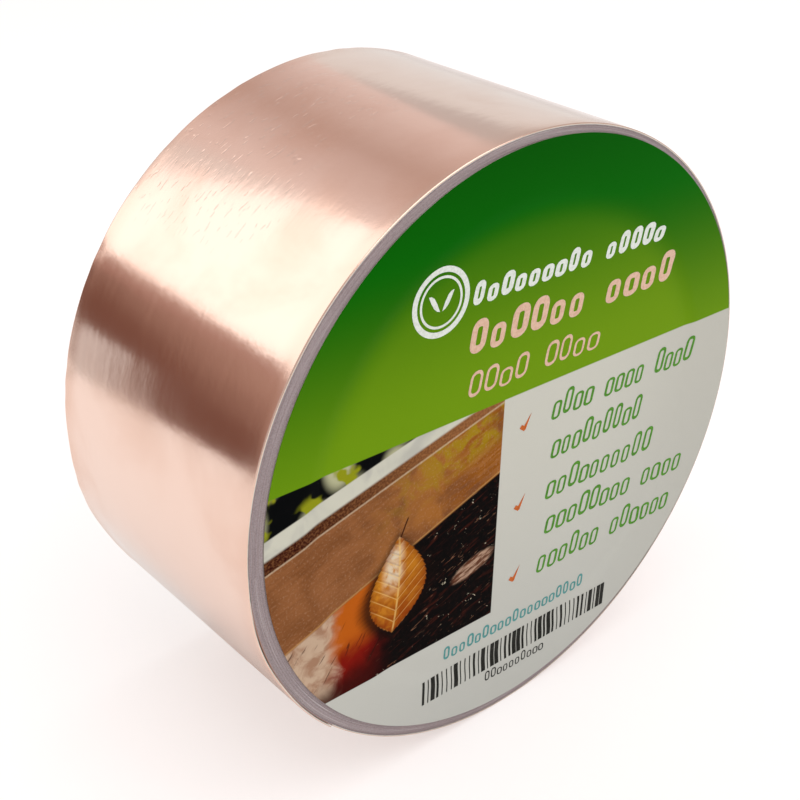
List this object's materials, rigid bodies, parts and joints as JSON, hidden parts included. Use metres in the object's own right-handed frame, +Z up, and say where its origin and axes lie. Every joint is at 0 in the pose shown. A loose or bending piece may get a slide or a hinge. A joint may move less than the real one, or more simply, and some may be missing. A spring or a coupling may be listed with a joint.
{
  "type": "copper foil tape roll",
  "caption": "Roll of wide liner-backed copper foil tape on a paperboard core, its front closed by a round paper label, with the free end of the tape lifting off the rim.",
  "frame": {"origin": "centre of the roll, on the axis of the core's bore and halfway across the tape's width", "axes": "+Y along the roll's axis, out of the open back of the bore; -Y is the side with the label; +Z is up when the roll stands on its rim with the label's print upright; +X is to the right seen from the label"},
  "size_m": [0.1041, 0.0501, 0.1037],
  "materials": {
    "core_lining": "matte",
    "core_board": "matte",
    "starter_tape": "satin",
    "tape_edge": "satin",
    "copper_foil": "polished",
    "tape_adhesive": "satin",
    "release_liner": "satin",
    "label_print": "gloss",
    "label_glue": "satin"
  },
  "bodies": {
    "roll": {"core_inner_ply": "core_lining", "core_body_ply_1": "core_board", "core_body_ply_2": "core_board", "core_body_ply_3": "core_board", "core_outer_ply": "core_board", "starter_strip": "starter_tape", "wound_turns": "tape_edge", "last_turn_foil": "copper_foil", "last_turn_adhesive": "tape_adhesive", "last_turn_liner": "release_liner", "label_adhesive": "label_glue", "label": "label_print"},
    "tail_first": {"tail_foil_1": "copper_foil", "tail_adhesive_1": "tape_adhesive", "tail_liner_1": "release_liner"},
    "tail_middle": {"tail_foil_2": "copper_foil", "tail_adhesive_2": "tape_adhesive", "tail_liner_2": "release_liner"},
    "tail_end": {"tail_foil_3": "copper_foil", "tail_adhesive_3": "tape_adhesive"},
    "loose_liner": {"liner_flap": "release_liner"}
  },
  "joints": [
    {"name": "tail_lift_1", "type": "hinge", "parent": "roll", "child": "tail_first", "pos_m": [-0.0521, 0, 0], "axis": [0, 1, 0], "range_deg": [0, 30]},
    {"name": "tail_lift_2", "type": "hinge", "parent": "tail_first", "child": "tail_middle", "pos_m": [-0.05117, 0, -0.01278], "axis": [0, 1, 0], "range_deg": [0, 30]},
    {"name": "tail_lift_3", "type": "hinge", "parent": "tail_middle", "child": "tail_end", "pos_m": [-0.04659, 0, -0.02475], "axis": [0, 1, 0], "range_deg": [0, 30]},
    {"name": "liner_split", "type": "hinge", "parent": "tail_middle", "child": "loose_liner", "pos_m": [-0.04639, 0, -0.02464], "axis": [0, 1, 0], "range_deg": [-15, 0]}
  ],
  "couplings": [
    {"joint": "tail_lift_2", "follows": "tail_lift_1", "ratio": 1},
    {"joint": "tail_lift_3", "follows": "tail_lift_1", "ratio": 1},
    {"joint": "liner_split", "follows": "tail_lift_1", "ratio": -0.5}
  ]
}
